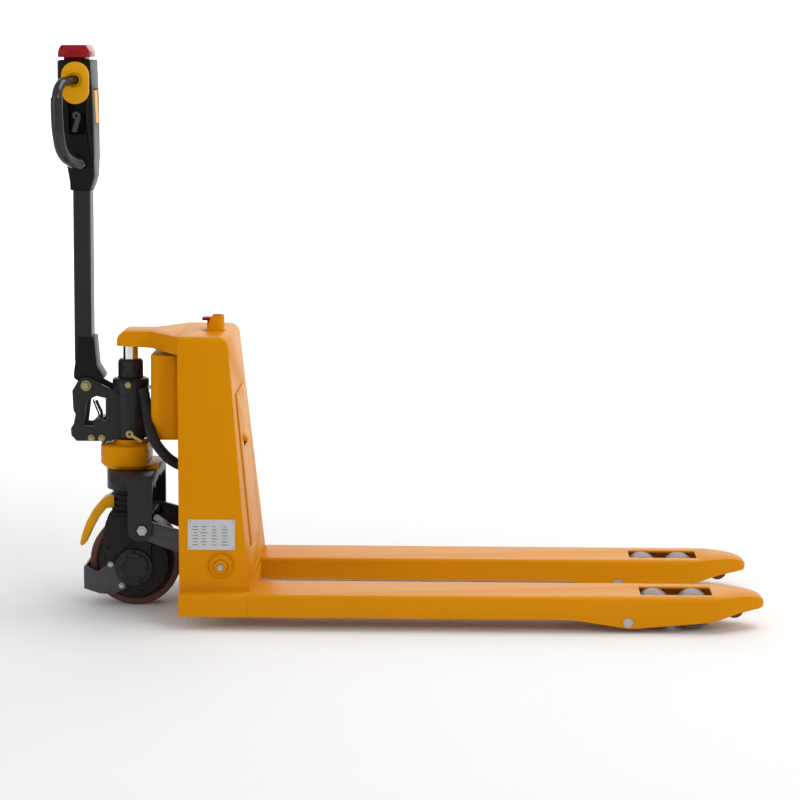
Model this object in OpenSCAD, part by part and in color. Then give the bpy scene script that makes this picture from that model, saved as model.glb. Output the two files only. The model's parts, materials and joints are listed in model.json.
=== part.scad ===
// Electric pallet truck with a steered drive wheel under its lift pump.
// X runs from the heel of the forks to their tips, Y across, Z up; the floor is z = 0.

/* [Forks] */
// Length of a fork from heel to tip
fork_len = 1160; // [900:10:1400]
// Width over both forks
overall_w = 550; // [520:5:700]
// Width of one fork
fork_w = 160; // [150:5:190]
// Height of the fork tops when lowered
fork_top = 80; // [78:1:96]
// Depth of the fork's side walls
fork_depth = 50; // [48:1:56]
// Thickness of the fork sheet
fork_wall = 5; // [4:0.5:6]
// Radius of the bent fork edges
fork_bend_r = 8; // [6:1:12]
// Length of fork behind the heel
fork_rear = 154; // [130:2:190]

/* [Load wheels] */
// Diameter of a load roller
roller_d = 80; // [74:1:80]
// Width of a load roller
roller_w = 70; // [60:1:72]
// Distance between the two rollers of a bogie
bogie_pitch = 88; // [86:1:100]
// Distance from the fork tip back to the wheel frame's pin
frame_pin_back = 310; // [300:5:360]
// Height of the wheel frame's pin
frame_pin_z = 25; // [24:1:28]
// Distance from the wheel frame's pin to the bogie's pin
frame_reach = 106; // [100:1:112]
// Diameter of the entry roller in the tip
entry_d = 44; // [40:1:46]

/* [Chassis] */
// Width of the upright at its foot
upright_foot_w = 470; // [440:5:480]
// Width of the upright at its top
upright_top_w = 300; // [280:5:360]
// Height of the upright's top
upright_h = 643; // [600:5:720]
// Depth of the upright at its foot
upright_depth = 156; // [140:2:190]
// How far the front panel leans back
front_lean = 55; // [30:1:70]
// Thickness of the upright's sheet
sheet = 5; // [3:0.5:6]

/* [Lift] */
// Height that the forks lift
lift = 115; // [80:1:120]
// Distance from the heel back to the torsion shaft
torsion_back = 63; // [60:1:70]
// Height of the torsion shaft
torsion_z = 135; // [130:1:145]
// Distance from the steering axis forward to the link pins
link_ahead = 42; // [38:1:46]
// Height of the link pins
link_z = 197; // [190:1:200]
// Diameter of the ram
ram_d = 36; // [30:1:40]

/* [Steering] */
// Distance from the heel back to the steering axis
steer_back = 293; // [285:1:330]
// Diameter of the drive wheel
wheel_d = 210; // [190:2:216]
// Width of the drive wheel
wheel_w = 70; // [60:2:76]
// Distance of the drive wheel ahead of the steering axis
trail = 12; // [0:1:15]

/* [Tiller] */
// Distance from the steering axis back to the tiller's pivot
tiller_back = 98; // [92:1:110]
// Height of the tiller's pivot
tiller_z = 515; // [500:5:540]
// Height of the top of the tiller head
tiller_top = 1296; // [1150:5:1350]
// Width across both hand loops
loops_w = 320; // [280:5:360]

/* [Hidden] */
$fn = 64;
fit = 0.05;      // running clearance on a radius
eps = 1;
fork_y = (overall_w - fork_w) / 2;
fork_bot = fork_top - fork_depth;
steer_x = -steer_back;
wheel_x = steer_x + trail;
wheel_z = wheel_d / 2;
tiller_x = steer_x - tiller_back;
tail_x = tiller_x - 58;
mid_x = (fork_len + tail_x) / 2;
pin_x = fork_len - frame_pin_back;
bogie_x = pin_x + frame_reach;
roller_z = roller_d / 2;
entry_x = fork_len - 67;
entry_z = fork_top - 35;
pin_r = 8;
link_x = steer_x + link_ahead;
arm_y = 116;                 // inner face of a rocker arm
arm_t = 11;
leg_y = arm_y + arm_t + 1.5; // inner face of a mount leg
leg_t = 8;
rod_stroke = 42.4;
rod_rear_z = torsion_z - 70;
rod_front_z = frame_pin_z + 29.5;
shaft_r = 16;
ram_r = ram_d / 2;
pump_r = 44;
collar_z = 322;
collar_r = 70;
neck_r = 46;
yoke_z = wheel_d + 3;
lean_a = atan(front_lean / (upright_h - fork_top));
plate_y = 34;                // inner face of the tiller bracket's plates
plate_t = 6;
yellow = [0.83, 0.58, 0.05];
dark = [0.19, 0.19, 0.2];
zinc = [0.8, 0.8, 0.78];

// ---------- helpers ----------
module place() { translate([-mid_x, 0, 0]) children(); }
module along_x(len) { rotate([90, 0, 90]) linear_extrude(len) children(); }
module along_y(w) { translate([0, w / 2, 0]) rotate([90, 0, 0]) linear_extrude(w) children(); }
module rod_y(r, w) { rotate([90, 0, 0]) cylinder(r = r, h = w, center = true); }
module disc_y(x, y, z, r, w) { translate([x, y, z]) rod_y(r, w); }
module hex_y(x, y, z, r, w) { translate([x, y, z]) rotate([90, 0, 0]) cylinder(r = r, h = w, center = true, $fn = 6); }
module box(x0, x1, y0, y1, z0, z1) { translate([x0, y0, z0]) cube([x1 - x0, y1 - y0, z1 - z0]); }
module round_rect(w, h, r) {
  square([w - 2 * r, h], center = true);
  square([w, h - 2 * r], center = true);
  for (sx = [-1, 1], sy = [-1, 1]) translate([sx * (w / 2 - r), sy * (h / 2 - r)]) circle(r);
}
module slot2(r, reach) {
  circle(r);
  translate([reach, 0]) circle(r);
  translate([0, -r]) square([reach, 2 * r]);
}
function unit(v) = v / norm(v);
function tangent(p, i) = unit(p[min(i + 1, len(p) - 1)] - p[max(i - 1, 0)]);
function spline_at(p, i, t) = let (a = p[max(i - 1, 0)], b = p[i], c = p[i + 1], d = p[min(i + 2, len(p) - 1)])
  0.5 * (2 * b + (c - a) * t + (2 * a - 5 * b + 4 * c - d) * t * t + (3 * b - a - 3 * c + d) * t * t * t);
function spline(p, n) = concat([for (i = [0:len(p) - 2], k = [0:n - 1]) spline_at(p, i, k / n)], [p[len(p) - 1]]);
function ring(c, t, ref, ra, rb, n) = let (u = unit(cross(ref, t)), v = cross(t, u))
  [for (k = [0:n - 1]) c + ra * cos(360 * k / n) * u + rb * sin(360 * k / n) * v];
module sweep(path, ref, ra, rb, n) {
  m = len(path);
  pts = [for (i = [0:m - 1]) each ring(path[i], tangent(path, i), ref, ra, rb, n)];
  sides = [for (i = [0:m - 2], k = [0:n - 1])
    [i * n + k, i * n + (k + 1) % n, (i + 1) * n + (k + 1) % n, (i + 1) * n + k]];
  ends = [[for (k = [n - 1:-1:0]) k], [for (k = [0:n - 1]) (m - 1) * n + k]];
  polyhedron(pts, [for (f = concat(sides, ends)) [for (k = [len(f) - 1:-1:0]) f[k]]], convexity = 6);
}

// ---------- mount: what stays straight under the chassis ----------
module mount_collar() {
  color(yellow) place() difference() {
    translate([steer_x, 0, collar_z]) union() {
      rotate_extrude() polygon([[0, 0], [collar_r - 10, 0], [collar_r, 10], [collar_r, 51], [collar_r - 3, 54],
        [42, 56], [40, 67], [0, 67]]);
      translate([0, -45, 0]) cube([collar_r, 90, 10]);
    }
    translate([steer_x, 0, collar_z - eps]) cylinder(r = 40 + fit, h = 80);
    box(steer_x + 43, steer_x + 90, -90, 90, collar_z + 11, collar_z + 90);
  }
}
module mount_bracket() {
  color(dark) place() difference() {
    union() {
      translate([steer_x, 0, collar_z - 50]) cylinder(r = 56, h = 50);
      box(steer_x - 30, steer_x + 64, -leg_y - leg_t, leg_y + leg_t, collar_z - 14, collar_z);
      for (s = [-1, 1]) translate([0, s * (leg_y + leg_t / 2), 0]) along_y(leg_t) {
        translate([link_x - 33, link_z]) square([55, collar_z - link_z]);
        translate([link_x - 6, link_z]) circle(27);
      }
      along_front() difference() {
        translate([-leg_y - leg_t, collar_z - 42]) square([2 * (leg_y + leg_t), 42]);
        translate([0, collar_z - 110]) circle(128 - 40);
        translate([-leg_y + 8, collar_z - 90]) square([2 * leg_y - 16, 62]);
      }
    }
    translate([steer_x, 0, collar_z - 60]) cylinder(r = neck_r + 3, h = 46);
    translate([steer_x, 0, collar_z - 60]) cylinder(r = 30 + 2, h = 80);
    for (s = [-1, 1]) disc_y(link_x, s * (leg_y + leg_t / 2), link_z, pin_r + fit, leg_t + 2);
  }
}
module along_front() { translate([steer_x + 58, 0, 0]) along_x(6) children(); }
module link_pins() {
  color(zinc) place() for (s = [-1, 1]) {
    disc_y(link_x, s * (arm_y - 1 + (arm_t + leg_t + 3.5) / 2), link_z, pin_r, arm_t + leg_t + 3.5);
    hex_y(link_x, s * (leg_y + leg_t + 3.5), link_z, 12, 6);
  }
}
module steering_bearings() {
  color("silver") place() for (z = [collar_z + 8, collar_z + 46]) translate([steer_x, 0, z]) difference() {
    cylinder(r = 40, h = 18);
    translate([0, 0, -eps]) cylinder(r = 30 + fit, h = 20);
  }
}

// ---------- steering: pump, drive unit and tiller bracket ----------
module pump_body() {
  color(dark) place() difference() {
    union() {
      translate([steer_x, 0, 0]) rotate_extrude() polygon([[0, 391], [pump_r - 4, 391], [pump_r, 395],
        [pump_r, 492], [pump_r - 2, 495], [pump_r - 2, 526], [pump_r - 7, 530], [0, 530]]);
      disc_y(steer_x, -pump_r + 2, 518, 8, 8);
      disc_y(steer_x + 3, -pump_r - 1, 404, 3, 12);
    }
    translate([steer_x, 0, 397]) cylinder(r = ram_r + fit, h = 200);
  }
}
module gland_nut() {
  color(dark) place() translate([steer_x, 0, 530]) difference() {
    rotate_extrude() polygon([[0, 0], [29, 0], [29, 38], [25, 44], [0, 44]]);
    translate([0, 0, -eps]) cylinder(r = ram_r + fit, h = 60);
    for (a = [0:60:300]) rotate(a) translate([29, 0, 24]) cube([6, 9, 14], center = true);
  }
}
module drive_neck() {
  color([0.1, 0.1, 0.1]) place() translate([steer_x, 0, 0]) rotate_extrude()
    polygon(concat([[0, yoke_z + 9], [neck_r, yoke_z + 9]],
      [for (i = [0:3], p = [[0, 0], [0, 6], [-5, 7], [-5, 11]]) [neck_r + p.x, yoke_z + 12 + i * 14 + p.y]],
      [[neck_r - 6, yoke_z + 72], [30, yoke_z + 72], [30, 391], [0, 391]]));
}
module gear_case() {
  color([0.17, 0.17, 0.17]) place() difference() {
    union() {
      disc_y(wheel_x, -47.5, wheel_z, 80, 21);
      translate([0, -49.5, 0]) along_y(25) polygon([[wheel_x - 56, yoke_z + 9], [wheel_x - 66, yoke_z - 18],
        [wheel_x - 73, wheel_z + 42], [wheel_x - 66, wheel_z], [wheel_x + 40, wheel_z], [wheel_x + 44, yoke_z + 9]]);
      translate([0, -62, 0]) along_y(8) polygon([[wheel_x - 52, yoke_z + 2], [wheel_x - 62, yoke_z - 20],
        [wheel_x - 69, wheel_z + 42], [wheel_x - 64, wheel_z + 14], [wheel_x - 52, wheel_z + 4],
        [wheel_x + 4, wheel_z + 56], [wheel_x + 20, yoke_z + 2]]);
      box(wheel_x - 56, wheel_x + 44, -62, 60, yoke_z, yoke_z + 9);
      box(wheel_x - 40, wheel_x + 40, 49.5, 60, wheel_z + 64, yoke_z + 2);
    }
    disc_y(wheel_x, -44, wheel_z, 15 + fit, 20);
    disc_y(wheel_x, -62.5, wheel_z - 10, 43 + fit, 9);
  }
}
module hub_cover() {
  color([0.2, 0.2, 0.2]) place() difference() {
    union() {
      disc_y(wheel_x, -62, wheel_z - 10, 43, 8);
      disc_y(wheel_x, -68, wheel_z - 10, 34, 4);
    }
    disc_y(wheel_x, -71, wheel_z - 10, 23, 5);
    disc_y(wheel_x + 19, -67, wheel_z - 45, 4, 14);
  }
}
module drive_screws() {
  color(zinc) place() {
    for (a = [30, 150]) hex_y(wheel_x + 71 * cos(a), (a == 150 ? -68.5 : -60.5), wheel_z + 71 * sin(a), 5, 5);
    for (s = [-1, 1], p = [[-54, -4], [-29, -54]]) hex_y(wheel_x + p.x, s * 65, wheel_z + p.y, 7, 6);
    hex_y(wheel_x, -68.5, wheel_z + 29.5, 4, 5);
  }
}
module traction_motor() {
  color([0.12, 0.12, 0.13]) place() difference() {
    union() {
      disc_y(wheel_x, 47.5, wheel_z, 62, 21);
      disc_y(wheel_x, 74, wheel_z, 44, 32);
      translate([0, 43, 0]) along_y(12) polygon([[wheel_x - 40, yoke_z - 0.2], [wheel_x - 50, wheel_z],
        [wheel_x + 50, wheel_z], [wheel_x + 40, yoke_z - 0.2]]);
    }
    disc_y(wheel_x, 44, wheel_z, 15 + fit, 20);
    for (y = [64:6:84]) translate([wheel_x, y, wheel_z]) rotate([90, 0, 0]) difference() {
      cylinder(r = 50, h = 2);
      translate([0, 0, -eps]) cylinder(r = 41, h = 4);
    }
  }
}
module foot_guard() {
  color([0.4, 0.4, 0.41]) place() difference() {
    along_y(124) polygon([[wheel_x - 116, 96], [wheel_x - 116, 44], [wheel_x - 80, 32], [wheel_x - 48, 30],
      [wheel_x - 16, 45], [wheel_x - 20, 60], [wheel_x - 46, 104], [wheel_x - 62, 100], [wheel_x - 84, 84],
      [wheel_x - 106, 96]]);
    translate([8, 0, 0]) along_y(116 + 0.2) translate([wheel_x - 120, 0]) square([140, 130]);
    disc_y(wheel_x, -61, wheel_z - 10, 43.3, 8);
    disc_y(wheel_x, 61, wheel_z, 44.3, 8);
  }
}
module fender() {
  color(yellow) place() difference() {
    along_y(56) polygon([[steer_x - 44, 258], [steer_x - 66, 246], [steer_x - 86, 223], [steer_x - 103, 192],
      [steer_x - 113, 163], [steer_x - 118, 142], [steer_x - 113, 136], [steer_x - 105, 142], [steer_x - 92, 171],
      [steer_x - 76, 200], [steer_x - 55, 226], [steer_x - 30, 229], [steer_x - 30, 258]]);
    translate([steer_x, 0, 200]) cylinder(r = neck_r, h = 80);
  }
}
module bracket_plate() {
  difference() {
    polygon([[tiller_x - 32, tiller_z - 12], [tiller_x - 30, 458], [tiller_x - 25, 449], [tiller_x - 29, 427],
      [tiller_x - 36, 415], [tiller_x - 35, 399], [tiller_x - 23, 386], [tiller_x + 55, 386], [steer_x - 20, 395],
      [steer_x - 20, 495], [tiller_x + 55, 508], [tiller_x + 9, 533], [tiller_x - 9, 534], [tiller_x - 20, 524]]);
    polygon([[tiller_x + 4, 482], [tiller_x, 470], [tiller_x - 6, 422], [tiller_x + 16, 420],
      [tiller_x + 16, 436], [tiller_x + 36, 436], [tiller_x + 54, 430], [tiller_x + 54, 484], [tiller_x + 24, 491]]);
    translate([tiller_x - 2, 487]) circle(3);
  }
}
module tiller_bracket() {
  color([0.2, 0.2, 0.2]) place() difference() {
    union() {
      for (s = [-1, 1]) translate([0, s * (plate_y + plate_t / 2), 0]) along_y(plate_t) bracket_plate();
      box(tiller_x - 30, tiller_x + 54, -plate_y - eps, plate_y + eps, 392, 412);
      box(tiller_x + 44, steer_x - 20, -plate_y - eps, plate_y + eps, 440, 484);
    }
    disc_y(tiller_x, 0, tiller_z, pin_r + fit, 100);
    translate([steer_x, 0, 380]) cylinder(r = pump_r + fit, h = 130);
  }
}
module bracket_bolts() {
  color([0.75, 0.7, 0.45]) place() {
    disc_y(tiller_x, 0, tiller_z, pin_r, 81);
    for (s = [-1, 1]) hex_y(tiller_x, s * 43.5, tiller_z, 11, 6);
    for (p = [[11, 393], [35, 393]], s = [-1, 1]) hex_y(tiller_x + p.x, s * 43, p.y, 7, 6);
    disc_y(steer_x, -48.5, 518, 6, 5);
  }
}
module return_spring() {
  turns = 5;
  color("silver") place() sweep([for (i = [0:turns * 12]) [tiller_x + 10.4 * cos(i * 30), -12 + i * 24 / (turns * 12),
    tiller_z + 10.4 * sin(i * 30)]], [0, 1, 0], 1.8, 1.8, 6);
}
module valve_block() {
  color([0.33, 0.33, 0.34]) place() {
    box(tiller_x + 19, tiller_x + 37, -30, 30, 412.5, 438);
    box(tiller_x + 44, tiller_x + 53, -30, 30, 412.5, 436);
    translate([tiller_x + 40, -30, 384.6]) rotate([0, 45, 0]) cylinder(r = 4, h = 12, center = true);
  }
}
module tiller_cables() {
  color([0.06, 0.06, 0.06]) place() {
    sweep(spline([[tiller_x + 14, -26, 481], [tiller_x + 20, -26, 465], [tiller_x + 27, -26, 447],
      [tiller_x + 28, -26, 438.5]], 4), [0, 1, 0], 2, 2, 8);
    sweep(spline([[tiller_x + 20, -18, 478], [tiller_x + 26, -18, 464], [tiller_x + 32, -18, 450],
      [tiller_x + 32, -18, 438.3]], 4), [0, 1, 0], 3.5, 3.5, 8);
  }
}

// ---------- drive wheel ----------
module drive_hub() {
  color([0.15, 0.15, 0.15]) place() translate([wheel_x, 0, wheel_z]) union() {
    difference() {
      rod_y(wheel_d / 2 - 18, wheel_w - 4);
      for (s = [-1, 1]) translate([0, s * 28, 0]) rod_y(72, 30);
    }
    rod_y(30, 60);
    rod_y(15, 104);
  }
}
module drive_tyre() {
  color([0.45, 0.17, 0.1]) place() translate([wheel_x, 0, wheel_z]) rotate([90, 0, 0]) rotate_extrude()
    polygon([[wheel_d / 2 - 18, -wheel_w / 2 + 2], [wheel_d / 2 - 6, -wheel_w / 2], [wheel_d / 2, -wheel_w / 2 + 5],
      [wheel_d / 2, wheel_w / 2 - 5], [wheel_d / 2 - 6, wheel_w / 2], [wheel_d / 2 - 18, wheel_w / 2 - 2]]);
}

// ---------- tiller ----------
tube_x = tiller_x - 8;
head_z = tiller_top - 331;
module tiller_socket() {
  color([0.2, 0.2, 0.2]) place() difference() {
    union() {
      along_y(66) polygon([[tiller_x - 29, 532], [tiller_x - 29, 546], [tiller_x - 20, 604], [tiller_x - 20, 627],
        [tiller_x + 18, 627], [tiller_x + 24, 560], [tiller_x + 39, 536], [tiller_x + 37, 528], [tiller_x + 14, 520], [tiller_x - 14, 520]]);
      disc_y(tiller_x, 0, tiller_z, 15, 66);
      hex_y(tiller_x - 15, -32.5, 536, 6, 2);
    }
    disc_y(tiller_x, 0, tiller_z, pin_r + fit, 100);
    disc_y(tiller_x, 0, tiller_z, 17, 36);
    box(tube_x - 20 - fit, tube_x + 20 + fit, -30 - fit, 30 + fit, 570, 640);
  }
}
module tiller_tube() {
  color([0.22, 0.22, 0.22]) place() translate([tube_x, 0, 570]) difference() {
    linear_extrude(head_z + 60 - 570) round_rect(40, 60, 7);
    translate([0, 0, -eps]) linear_extrude(head_z + 70 - 570) round_rect(35, 55, 5);
  }
}
module head_side() {
  polygon([[tiller_x - 33, head_z], [tiller_x - 33, head_z + 19], [tiller_x - 38, head_z + 55],
    [tiller_x - 50, head_z + 170], [tiller_x - 58, head_z + 230], [tiller_x - 58, head_z + 297],
    [tiller_x + 18, head_z + 297], [tiller_x + 22, head_z + 230], [tiller_x + 25, head_z + 158],
    [tiller_x + 24, head_z + 33], [tiller_x + 18, head_z + 12], [tiller_x + 13.5, head_z]]);
}
module head_plan(x0, x1, w, r) {
  translate([tiller_x + (x0 + x1) / 2, 0, head_z - eps]) linear_extrude(340) round_rect(x1 - x0, w, r);
}
module head_front() {
  polygon([[-36, head_z], [-40, head_z + 30], [-62, head_z + 150], [-64, head_z + 240], [-58, head_z + 297],
    [58, head_z + 297], [64, head_z + 240], [62, head_z + 150], [40, head_z + 30], [36, head_z]]);
}
module head_housing() {
  color([0.2, 0.2, 0.19]) place() {
    head_shell();
    for (s = [-1, 1]) disc_y(tiller_x - 12, s * 52, head_z + 172, 3, 30);
  }
}
module head_shell() {
  difference() {
    intersection() {
      along_y(140) head_side();
      translate([tiller_x - 100, 0, 0]) along_x(200) head_front();
      head_plan(-58, 25, 130, 26);
    }
    translate([tube_x, 0, head_z - eps]) linear_extrude(61) round_rect(40.1, 60.1, 7);
    translate([tiller_x - 13, 0, head_z + 246]) rod_y(9 + fit, 140);
    for (s = [-1, 1]) translate([tiller_x - 12, s * 62, head_z + 172]) cube([36, 40, 84], center = true);
    box(tiller_x + 18, tiller_x + 60, -22, 22, head_z + 153, head_z + 228);
    translate([tiller_x - 20, 0, head_z + 280]) linear_extrude(30) square([50, 70], center = true);
  }
}
module head_trim() {
  color(yellow) place() intersection() {
    box(tiller_x + 18, tiller_x + 60, -21.8, 21.8, head_z + 153.2, head_z + 227.8);
    along_y(80) polygon([[tiller_x + 18, head_z + 150], [tiller_x + 18, head_z + 230],
      [tiller_x + 23, head_z + 228], [tiller_x + 26.5, head_z + 158], [tiller_x + 26, head_z + 150]]);
  }
}
module grip(s) {
  yo = loops_w / 2 - 14;
  path = spline([[tiller_x - 14, s * 78, head_z + 253], [tiller_x - 28, s * 98, head_z + 250],
    [tiller_x - 38, s * (yo - 20), head_z + 242], [tiller_x - 43, s * yo, head_z + 215],
    [tiller_x - 43, s * yo, head_z + 180], [tiller_x - 40, s * (yo - 2), head_z + 130],
    [tiller_x - 34, s * (yo - 18), head_z + 92], [tiller_x - 20, s * 92, head_z + 70],
    [tiller_x - 6, s * 66, head_z + 62], [tiller_x - 2, s * 52, head_z + 60]], 4);
  sweep(path, [1, 0, 0.2], 14, 14, 12);
}
module grip_left() { color(dark) place() grip_cut(1); }
module grip_right() { color(dark) place() grip_cut(-1); }
module grip_cut(s) {
  difference() {
    grip(s);
    translate([tiller_x - 13, s * 60, head_z + 246]) rod_y(30, 34);
    intersection() {
      along_y(140) head_side();
      translate([tiller_x - 100, 0, 0]) along_x(200) head_front();
    }
  }
}
module throttle_knobs() {
  color([0.95, 0.72, 0.05]) place() {
    translate([tiller_x - 13, 0, head_z + 246]) rod_y(9, 129);
    for (s = [-1, 1]) translate([tiller_x - 13, s * 70.5, head_z + 246]) rotate([90, 0, 0]) difference() {
      linear_extrude(12, center = true) round_rect(62, 95, 30);
      translate([-1, 7, s > 0 ? -7 : 3]) cylinder(r = 15.5, h = 4);
    }
  }
}
module belly_button() {
  color([0.75, 0.1, 0.12]) place() {
    translate([0, 0, head_z + 303.5]) intersection() {
      along_y(116) polygon([[tiller_x - 58, 0], [tiller_x - 55, 16], [tiller_x - 48, 27.5], [tiller_x + 8, 27.5],
        [tiller_x + 15, 16], [tiller_x + 18, 0]]);
      translate([tiller_x - 100, 0, 0]) along_x(200) polygon([[-57, 0], [-54, 18], [-44, 27.5], [44, 27.5],
        [54, 18], [57, 0]]);
      translate([tiller_x - 20, 0, -eps]) linear_extrude(40) round_rect(76, 114, 24);
    }
    translate([tiller_x - 20, 0, head_z + 291]) linear_extrude(13) square([48.8, 68.8], center = true);
  }
}
module side_lever(s) {
  translate([tiller_x - 12, s * 56, head_z + 172]) difference() {
    union() {
      rod_y(9, 22);
      translate([-1, 0, -21]) rotate([0, 18, 0]) cube([10, 20, 34], center = true);
    }
    rod_y(3 + fit, 30);
  }
}
module lift_lever() { color([0.35, 0.35, 0.35]) place() side_lever(-1); }
module lower_lever() { color([0.35, 0.35, 0.35]) place() side_lever(1); }
module release_lever() {
  color([0.75, 0.62, 0.35]) place() translate([steer_x + 3, 0, 404]) difference() {
    union() {
      translate([0, -48, 0]) rod_y(9, 5);
      translate([0, -48, 0]) rotate([0, 32, 0]) translate([16, 0, 0]) cube([32, 5, 8], center = true);
    }
    translate([0, -48, 0]) rod_y(3 + fit, 9);
  }
}

// ---------- chassis ----------
module front_side(t) { // side outline, set in by t
  r = 26 - t;
  zc = upright_h - 26;
  xc = -tan(lean_a) * (zc - fork_top) - 26 / cos(lean_a);
  polygon([[-upright_depth - (t > 0 ? 40 : 0), fork_top - (t > 0 ? 9 : 0)], [-t / cos(lean_a), fork_top - (t > 0 ? 9 : 0)],
    [xc + r * cos(lean_a), zc + r * sin(lean_a)], [xc, zc + r],
    [-upright_depth - 12 - (t > 0 ? 40 : 0), upright_h - t]]);
  if (t == 0) translate([xc, zc]) circle(r);
}
module front_face(t) { // front outline, set in by t
  a = atan((upright_foot_w - upright_top_w) / 2 / (upright_h - fork_top));
  r = 17 - t;
  zc = upright_h - t - r;
  yb = upright_foot_w / 2 - t / cos(a);
  yc = yb - tan(a) * (zc - fork_top) - r / cos(a);
  z0 = fork_top - (t > 0 ? 9 : 0);
  polygon([[-yb, z0], [yb, z0], [yc + r * cos(a), zc + r * sin(a)], [yc, zc + r], [-yc, zc + r],
    [-yc - r * cos(a), zc + r * sin(a)]]);
  if (t == 0) for (s = [-1, 1]) translate([s * yc, zc]) circle(r);
}
module upright_solid(t) {
  intersection() {
    along_y(700) front_side(t);
    translate([-400, 0, 0]) along_x(500) front_face(t);
  }
}
module on_front(z) { translate([-tan(lean_a) * (z - fork_top), 0, z]) rotate([0, -lean_a, 0]) children(); }
module upright() {
  color(yellow) place() difference() {
    union() {
      difference() {
        upright_solid(0);
        upright_solid(sheet);
      }
      intersection() {
        upright_solid(1);
        box(-upright_depth + 6, 0, -overall_w / 2, overall_w / 2, 207, 215);
      }
    }
    on_front(330) cube([30, 150, 320], center = true);
    for (s = [-1, 1]) translate([0, s * 50, 98]) rotate([0, 90, 0]) cylinder(r = 4, h = 60, center = true);
    for (s = [-1, 1]) disc_y(-torsion_back, s * 225, torsion_z, 24 + fit, 60);
    translate([-upright_depth + 47, 0, upright_h - 20]) cylinder(r = 6.5, h = 40);
  }
}
module fork_section(w, top, r) {
  translate([-w / 2, 0]) square([w, top - r]);
  translate([-w / 2 + r, 0]) square([w - 2 * r, top]);
  for (s = [-1, 1]) translate([s * (w / 2 - r), top - r]) circle(r);
}
module chassis_base() {
  floor_y = fork_y - fork_w / 2;
  color(yellow) place() {
    for (s = [-1, 1]) translate([-fork_rear, s * fork_y, 0]) difference() {
      along_x(fork_rear) fork_section(fork_w, fork_top, fork_bend_r);
      translate([-eps, 0, 0]) along_x(fork_rear + 2) translate([-fork_w / 2 + fork_wall, -1])
        square([fork_w - 2 * fork_wall, fork_top - fork_wall + 1]);
      box(-9, fork_rear + 9, -fork_w, fork_w, -9, fork_bot);
      box(fork_rear - torsion_back - 42, fork_rear - torsion_back + 42, -22, 22, 60, 90);
    }
    box(-fork_rear + 10, -sheet / 2, -floor_y - 14, floor_y + 14, fork_top - 8, fork_top - 0.5);
    box(-sheet, -0.5, -floor_y - 3, floor_y + 3, fork_bot + 6, fork_top - 10);
    for (s = [-1, 1]) difference() {
      disc_y(-torsion_back, s * 219, torsion_z, 24, 28);
      disc_y(-torsion_back, s * 219, torsion_z, shaft_r + fit, 40);
    }
  }
}
function touch(p, c, r, s) = let (d = c - p, l = norm(d), a = atan2(d.y, d.x) + s * asin(r / l))
  p + sqrt(l * l - r * r) * [cos(a), sin(a)];
module fork_plan() {
  c = [fork_len - 38, 0];
  o = [fork_len - 104, -fork_w / 2];
  n = [fork_len - 127, fork_w / 2];
  polygon([[0, -fork_w / 2], o, touch(o, c, 38, -1), c, touch(n, c, 38, 1), n, [0, fork_w / 2]]);
  translate(c) circle(38);
}
module fork_profile() {
  polygon([[0, fork_bot], [pin_x - 124, fork_bot], [pin_x, fork_bot - 19], [pin_x + 16, fork_bot - 19],
    [pin_x + 124, fork_bot - 9], [pin_x + 177, fork_bot - 4.5], [fork_len - 102, fork_bot + 3],
    [fork_len - 62, fork_bot + 12], [fork_len - 22, fork_bot + 17], [fork_len - 4, fork_bot + 18.5],
    [fork_len, fork_top - 26], [fork_len, fork_top - 19], [fork_len - 4, fork_top - 12.5],
    [fork_len - 13, fork_top - 7], [fork_len - 27, fork_top - 3.2], [fork_len - 44, fork_top - 0.9],
    [fork_len - 62, fork_top], [0, fork_top]]);
}
module fork(s) {
  translate([0, s * fork_y, 0]) difference() {
    intersection() {
      along_x(fork_len) fork_section(fork_w, fork_top, fork_bend_r);
      linear_extrude(fork_top + 1) mirror([0, s > 0 ? 1 : 0]) fork_plan();
      along_y(fork_w + 2) fork_profile();
    }
    box(-eps, fork_len - 130, -fork_w / 2 + fork_wall, fork_w / 2 - fork_wall, -1, fork_top - fork_wall);
    box(fork_len - 131, fork_len - 110, -54, 54, -1, fork_top - fork_wall);
    box(bogie_x - 76, bogie_x + 85, -40, 40, 60, fork_top + 1);
    box(entry_x - 27, entry_x + 27, -22, 22, -1, entry_z + entry_d / 2 + 3);
    disc_y(pin_x, 0, frame_pin_z, pin_r + fit, fork_w + 2);
    disc_y(entry_x, 0, entry_z, 4 + fit, 50);
  }
}
module fork_left() { color(yellow) place() fork(1); }
module fork_right() { color(yellow) place() fork(-1); }
module head_bracket() {
  x1 = -upright_depth - 12;
  x0 = steer_x - 25;
  color(yellow) place() difference() {
    intersection() {
      translate([0, 0, upright_h - 45]) linear_extrude(45) polygon([[x0, -50], [x0 + 80, -50],
        [x1, -upright_top_w / 2 + 6], [x1, upright_top_w / 2 - 6], [x0 + 80, 50], [x0, 50]]);
      along_y(400) intersection() {
        union() {
          translate([x0 + 22, upright_h - 50]) square([300, 50]);
          translate([x0, upright_h - 50]) square([30, 28]);
          translate([x0 + 22, upright_h - 22]) circle(22);
        }
        polygon([[x0 - eps, upright_h - 34], [x0 + 60, upright_h - 37], [x0 + 300, upright_h - 52],
          [x0 + 300, upright_h + eps], [x0 - eps, upright_h + eps]]);
      }
    }
    difference() {
      translate([0, 0, upright_h - 46]) linear_extrude(40) polygon([[x0 + 6, -44], [x0 + 82, -44],
        [x1 + eps, -upright_top_w / 2 + 14], [x1 + eps, upright_top_w / 2 - 14], [x0 + 82, 44], [x0 + 6, 44]]);
      translate([steer_x, 0, upright_h - 50]) cylinder(r = 30, h = 50);
    }
    translate([steer_x, 0, upright_h - 60]) cylinder(r = ram_r + fit, h = 42);
  }
}
module ram() {
  color([0.85, 0.86, 0.88]) place() translate([steer_x, 0, 400]) cylinder(r = ram_r, h = upright_h - 420);
}
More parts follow.
